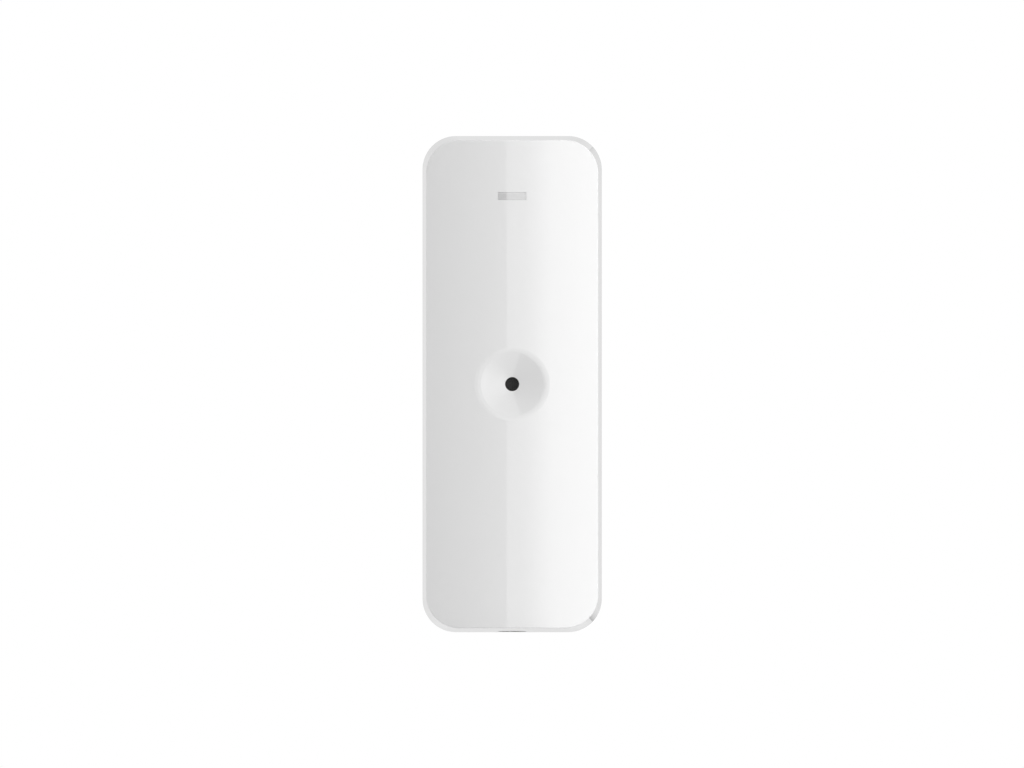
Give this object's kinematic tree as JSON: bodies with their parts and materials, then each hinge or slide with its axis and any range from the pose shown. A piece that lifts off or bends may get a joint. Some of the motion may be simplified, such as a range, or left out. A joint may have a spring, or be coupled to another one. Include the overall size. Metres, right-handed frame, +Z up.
{
  "type": "glass break sensor",
  "caption": "Slim upright wall sensor that listens for breaking glass, with a gently domed white cover, a shallow funnel round its sound port and a small indicator window",
  "frame": {"origin": "on the wall face of the rear panel, behind the sound port and halfway between the two wall screws", "axes": "+X to the right as seen from the room, +Z up, +Y into the wall, so the front cover faces -Y"},
  "size_m": [0.03, 0.026, 0.083],
  "materials": {
    "cover_white": "semi-gloss moulded white plastic",
    "panel_white": "fine satin white plastic",
    "pipe_clear": "clear polished plastic",
    "mesh_black": "woven black acoustic fabric",
    "boot_black": "soft black rubber",
    "capsule_metal": "drawn satin can",
    "board_green": "green solder mask over fibreglass",
    "holder_black": "matt black moulded plastic",
    "contact_nickel": "nickel-plated spring sheet",
    "cell_sleeve": "printed-free blue shrink sleeve over a metal can",
    "switch_black": "black moulded plastic",
    "switch_steel": "thin stamped steel",
    "stem_white": "off-white moulded plastic",
    "button_red": "red moulded plastic",
    "shield_tin": "tin-plated sheet",
    "chip_black": "black moulded package",
    "crystal_metal": "plated lid",
    "led_lens": "milky lens on a white base",
    "antenna_plate": "tin-plated strip",
    "capacitor_can": "plain can on a dark base",
    "chip_parts": "brown ceramic with plated ends",
    "screw_steel": "zinc-plated steel"
  },
  "bodies": {
    "housing": {"front_cover": "cover_white", "rear_panel": "panel_white", "light_pipe": "pipe_clear", "acoustic_mesh": "mesh_black", "microphone_boot": "boot_black", "microphone_capsule": "capsule_metal", "main_board": "board_green", "battery_holder": "holder_black", "negative_contact": "contact_nickel", "positive_contact": "contact_nickel", "battery_cell": "cell_sleeve", "tamper_switch_base": "switch_black", "tamper_switch_plate": "switch_steel", "enrol_switch_base": "switch_black", "enrol_switch_plate": "switch_steel", "radio_shield": "shield_tin", "processor_chip": "chip_black", "crystal_can": "crystal_metal", "amplifier_chip": "chip_black", "indicator_led": "led_lens", "strip_antenna": "antenna_plate", "storage_capacitors": "capacitor_can", "chip_components": "chip_parts", "board_screws": "screw_steel", "locking_screw": "screw_steel"},
    "tamper_stem": {"tamper_switch_stem": "stem_white"},
    "enrol_stem": {"enrol_button": "button_red"}
  },
  "joints": [
    {"name": "tamper_press", "type": "slide", "parent": "housing", "child": "tamper_stem", "axis": [0, -1, 0], "range_m": [0, 0.00025], "stiffness_N_per_m": 6400},
    {"name": "enrol_press", "type": "slide", "parent": "housing", "child": "enrol_stem", "axis": [0, -1, 0], "range_m": [0, 0.00025], "stiffness_N_per_m": 6400}
  ]
}
